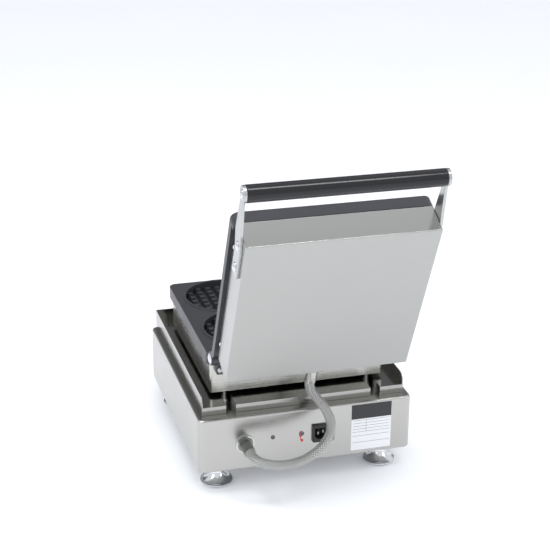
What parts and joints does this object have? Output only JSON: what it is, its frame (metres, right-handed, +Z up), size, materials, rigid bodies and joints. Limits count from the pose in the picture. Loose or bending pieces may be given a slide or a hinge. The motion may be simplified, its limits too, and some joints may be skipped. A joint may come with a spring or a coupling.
{
  "type": "waffle maker",
  "caption": "Countertop waffle iron on a stainless base: hinged lid with round handle bar, cast plates with round moulds, pull-out drip tray, flared feet and a braided lead hose.",
  "frame": {"origin": "under the middle of the whole part, lid open, on the surface that the feet stand on", "axes": "+X towards the operator's right, +Y towards the rear where the mains inlet is, +Z up"},
  "size_m": [0.3, 0.4962, 0.4882],
  "materials": {
    "brushed_stainless": "brushed",
    "sheet_stainless": "satin",
    "cast_plate": "satin, baked coating",
    "cast_bracket": "rough",
    "bright_steel": "polished",
    "zinc_steel": "zinc plated",
    "black_phenolic": "gloss",
    "black_plastic": "matt",
    "red_plastic": "gloss, translucent",
    "green_lens": "gloss, translucent",
    "amber_lens": "gloss, translucent",
    "heater_tube": "oxidised",
    "mineral_wool": "fibrous",
    "rubber": "matt",
    "braid": "braided wire",
    "brass_pin": "nickelled brass",
    "nickel_brass": "nickel plated",
    "red_lacquer": "gloss lacquer",
    "label_foil": "printed foil",
    "ceramic": "unglazed ceramic",
    "silicone_wire": "silicone and glass sleeve"
  },
  "bodies": {
    "base": {"base_leads": "silicone_wire", "bottom_plate": "sheet_stainless", "bottom_screws": "zinc_steel", "bracket_screws": "zinc_steel", "braided_hose": "braid", "control_fascia": "black_plastic", "foot_nuts": "zinc_steel", "foot_pads": "rubber", "foot_studs": "zinc_steel", "gland_locknut": "nickel_brass", "gland_washer": "nickel_brass", "heating_lamp_lens": "amber_lens", "hinge_brackets": "cast_bracket", "hinge_pins": "bright_steel", "hose_gland": "nickel_brass", "housing_shell": "brushed_stainless", "inlet_pins": "brass_pin", "inlet_socket": "black_plastic", "lamp_holders": "black_plastic", "leg_nuts": "zinc_steel", "levelling_feet": "bright_steel", "locking_lacquer": "red_lacquer", "lower_clamp_plate": "sheet_stainless", "lower_clamp_screws": "zinc_steel", "lower_element": "heater_tube", "lower_heater_box": "brushed_stainless", "lower_mineral_wool": "mineral_wool", "lower_plate": "cast_plate", "overheat_cutout": "ceramic", "power_lamp_lens": "green_lens", "rating_plate": "label_foil", "rear_screws": "bright_steel", "support_legs": "bright_steel", "switch_frame": "black_plastic", "terminal_block": "ceramic", "thermostat_body": "ceramic", "thermostat_bulb": "nickel_brass"},
    "lid": {"lid_frame": "sheet_stainless", "lid_cover": "brushed_stainless", "upper_plate": "cast_plate", "upper_element": "heater_tube", "upper_clamp_plate": "sheet_stainless", "upper_clamp_screws": "zinc_steel", "upper_mineral_wool": "mineral_wool", "lid_leads": "silicone_wire", "frame_bolts": "bright_steel", "handle_arms": "brushed_stainless", "handle_grip": "black_phenolic", "handle_rod": "zinc_steel", "handle_screws": "bright_steel", "arm_bolts": "bright_steel", "arm_nuts": "zinc_steel", "hose_ferrule": "nickel_brass", "ferrule_locknut": "nickel_brass"},
    "tray": {"drip_tray": "brushed_stainless"},
    "knob": {"thermostat_knob": "black_phenolic", "thermostat_spindle": "zinc_steel"},
    "rocker": {"power_rocker": "red_plastic"}
  },
  "joints": [
    {"name": "lid_hinge", "type": "hinge", "parent": "base", "child": "lid", "pos_m": [0, 0.06907, 0.1927], "axis": [1, 0, 0], "range_deg": [0, 114.7], "deforming": ["braided_hose"]},
    {"name": "tray_slide", "type": "slide", "parent": "base", "child": "tray", "axis": [0, -1, 0], "range_m": [0, 0.16]},
    {"name": "thermostat_turn", "type": "hinge", "parent": "base", "child": "knob", "pos_m": [0.06, -0.23783, 0.074], "axis": [0, 1, 0], "range_deg": [0, 270]},
    {"name": "power_rock", "type": "hinge", "parent": "base", "child": "rocker", "pos_m": [-0.104, -0.22483, 0.074], "axis": [1, 0, 0], "range_deg": [-20, 0]}
  ]
}
